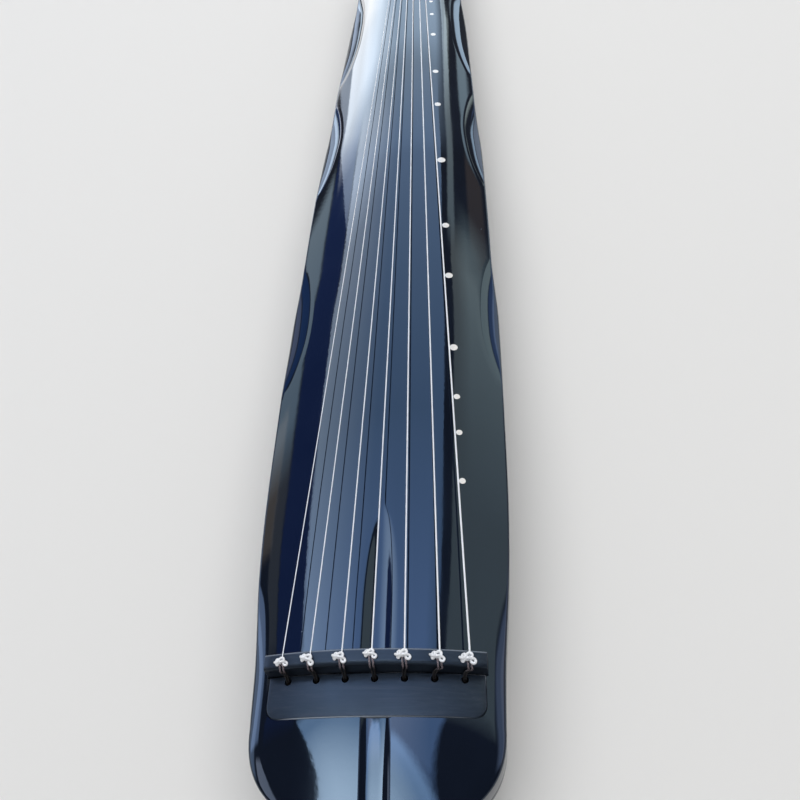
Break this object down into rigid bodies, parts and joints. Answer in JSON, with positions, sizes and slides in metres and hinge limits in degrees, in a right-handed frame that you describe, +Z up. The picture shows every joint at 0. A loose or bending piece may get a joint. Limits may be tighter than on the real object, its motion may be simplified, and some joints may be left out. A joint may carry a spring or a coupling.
{
  "type": "guqin",
  "caption": "Black lacquered long zither with wavy leaf-shaped edges, an arched top board, silk-white strings over a bridge and nut, turning pegs, inlaid studs and turned feet.",
  "frame": {"origin": "middle of the part on the surface that it stands on, under its goose feet and peg guards", "axes": "+X towards the side of the studs, +Y from the head to the tail, +Z up"},
  "size_m": [0.196, 1.2396, 0.0997],
  "materials": {
    "black_lacquer": "high-gloss black lacquer over wood",
    "dark_hardwood": "semi-matt dark hardwood",
    "red_hardwood": "polished red-brown hardwood",
    "inner_wood": "bare softwood",
    "mother_of_pearl": "polished shell",
    "white_string": "nylon-wound steel, white",
    "silk_cord": "twisted silk"
  },
  "bodies": {
    "instrument_body": {"top_board": "black_lacquer", "bottom_board": "black_lacquer", "bridge": "dark_hardwood", "string_hole_strip": "dark_hardwood", "peg_pool_plate": "dark_hardwood", "tail_nut": "dark_hardwood", "lower_nut": "dark_hardwood", "heaven_post": "inner_wood", "earth_post": "inner_wood", "crown_plate_left": "dark_hardwood", "goose_foot_left": "red_hardwood", "peg_guard_left": "red_hardwood", "crown_plate_right": "dark_hardwood", "goose_foot_right": "red_hardwood", "peg_guard_right": "red_hardwood", "stud_1": "mother_of_pearl", "stud_2": "mother_of_pearl", "stud_3": "mother_of_pearl", "stud_4": "mother_of_pearl", "stud_5": "mother_of_pearl", "stud_6": "mother_of_pearl", "stud_7": "mother_of_pearl", "stud_8": "mother_of_pearl", "stud_9": "mother_of_pearl", "stud_10": "mother_of_pearl", "stud_11": "mother_of_pearl", "stud_12": "mother_of_pearl", "stud_13": "mother_of_pearl", "loop_cord_1": "silk_cord", "string_1": "white_string", "loop_cord_2": "silk_cord", "string_2": "white_string", "loop_cord_3": "silk_cord", "string_3": "white_string", "loop_cord_4": "silk_cord", "string_4": "white_string", "loop_cord_5": "silk_cord", "string_5": "white_string", "loop_cord_6": "silk_cord", "string_6": "white_string", "loop_cord_7": "silk_cord", "string_7": "white_string"},
    "tuning_peg_1": {"peg_1": "red_hardwood", "peg_cord_1": "silk_cord"},
    "tuning_peg_2": {"peg_2": "red_hardwood", "peg_cord_2": "silk_cord"},
    "tuning_peg_3": {"peg_3": "red_hardwood", "peg_cord_3": "silk_cord"},
    "tuning_peg_4": {"peg_4": "red_hardwood", "peg_cord_4": "silk_cord"},
    "tuning_peg_5": {"peg_5": "red_hardwood", "peg_cord_5": "silk_cord"},
    "tuning_peg_6": {"peg_6": "red_hardwood", "peg_cord_6": "silk_cord"},
    "tuning_peg_7": {"peg_7": "red_hardwood", "peg_cord_7": "silk_cord"}
  },
  "joints": [
    {"name": "peg_1_turn", "type": "hinge", "parent": "instrument_body", "child": "tuning_peg_1", "pos_m": [0.0597, -0.53085, 0.02625], "axis": [0, 0, 1], "continuous": true},
    {"name": "peg_2_turn", "type": "hinge", "parent": "instrument_body", "child": "tuning_peg_2", "pos_m": [0.0398, -0.53085, 0.02625], "axis": [0, 0, 1], "continuous": true},
    {"name": "peg_3_turn", "type": "hinge", "parent": "instrument_body", "child": "tuning_peg_3", "pos_m": [0.0199, -0.53085, 0.02625], "axis": [0, 0, 1], "continuous": true},
    {"name": "peg_4_turn", "type": "hinge", "parent": "instrument_body", "child": "tuning_peg_4", "pos_m": [0, -0.53085, 0.02625], "axis": [0, 0, 1], "continuous": true},
    {"name": "peg_5_turn", "type": "hinge", "parent": "instrument_body", "child": "tuning_peg_5", "pos_m": [-0.0199, -0.53085, 0.02625], "axis": [0, 0, 1], "continuous": true},
    {"name": "peg_6_turn", "type": "hinge", "parent": "instrument_body", "child": "tuning_peg_6", "pos_m": [-0.0398, -0.53085, 0.02625], "axis": [0, 0, 1], "continuous": true},
    {"name": "peg_7_turn", "type": "hinge", "parent": "instrument_body", "child": "tuning_peg_7", "pos_m": [-0.0597, -0.53085, 0.02625], "axis": [0, 0, 1], "continuous": true}
  ]
}
